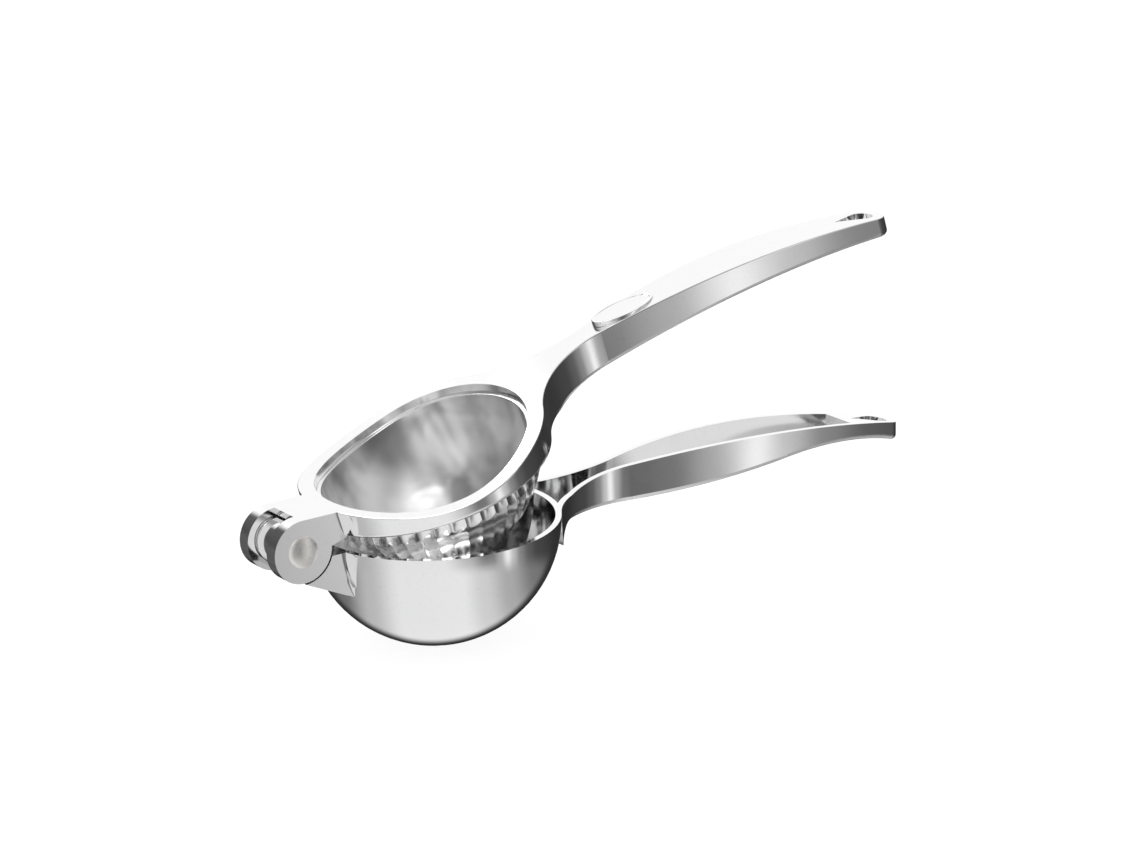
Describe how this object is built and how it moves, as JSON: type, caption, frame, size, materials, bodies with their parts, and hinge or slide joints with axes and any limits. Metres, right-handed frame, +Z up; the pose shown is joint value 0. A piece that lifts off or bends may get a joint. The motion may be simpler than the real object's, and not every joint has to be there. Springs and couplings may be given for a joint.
{
  "type": "citrus squeezer",
  "caption": "Hand citrus squeezer: hinged arms carry a drained juice bowl and a fluted press cup on long arched handles.",
  "frame": {"origin": "centre of the hanging eye in the lower handle, at the tip's upper face", "axes": "+X from the hinge towards the handle tips, +Y across the tool along the hinge axis, +Z up, square to the lower bowl's rim"},
  "size_m": [0.225, 0.072, 0.0969],
  "materials": {
    "polished_arm": "mirror polished, bright plated",
    "satin_cup": "satin inside, polished flutes outside",
    "satin_rivet": "satin, slightly warm",
    "bright_washer": "bright",
    "polished_badge": "mirror polished, blank"
  },
  "bodies": {
    "lower": {"lower_arm": "polished_arm"},
    "upper": {"upper_arm": "polished_arm", "press_cup": "satin_cup", "hinge_pin": "satin_rivet", "washer_near": "bright_washer", "washer_far": "bright_washer", "badge": "polished_badge"}
  },
  "joints": [
    {"name": "hinge", "type": "hinge", "parent": "lower", "child": "upper", "pos_m": [-0.2093, 0, 0.00683], "axis": [0, -1, 0], "range_deg": [-16, 134]}
  ]
}
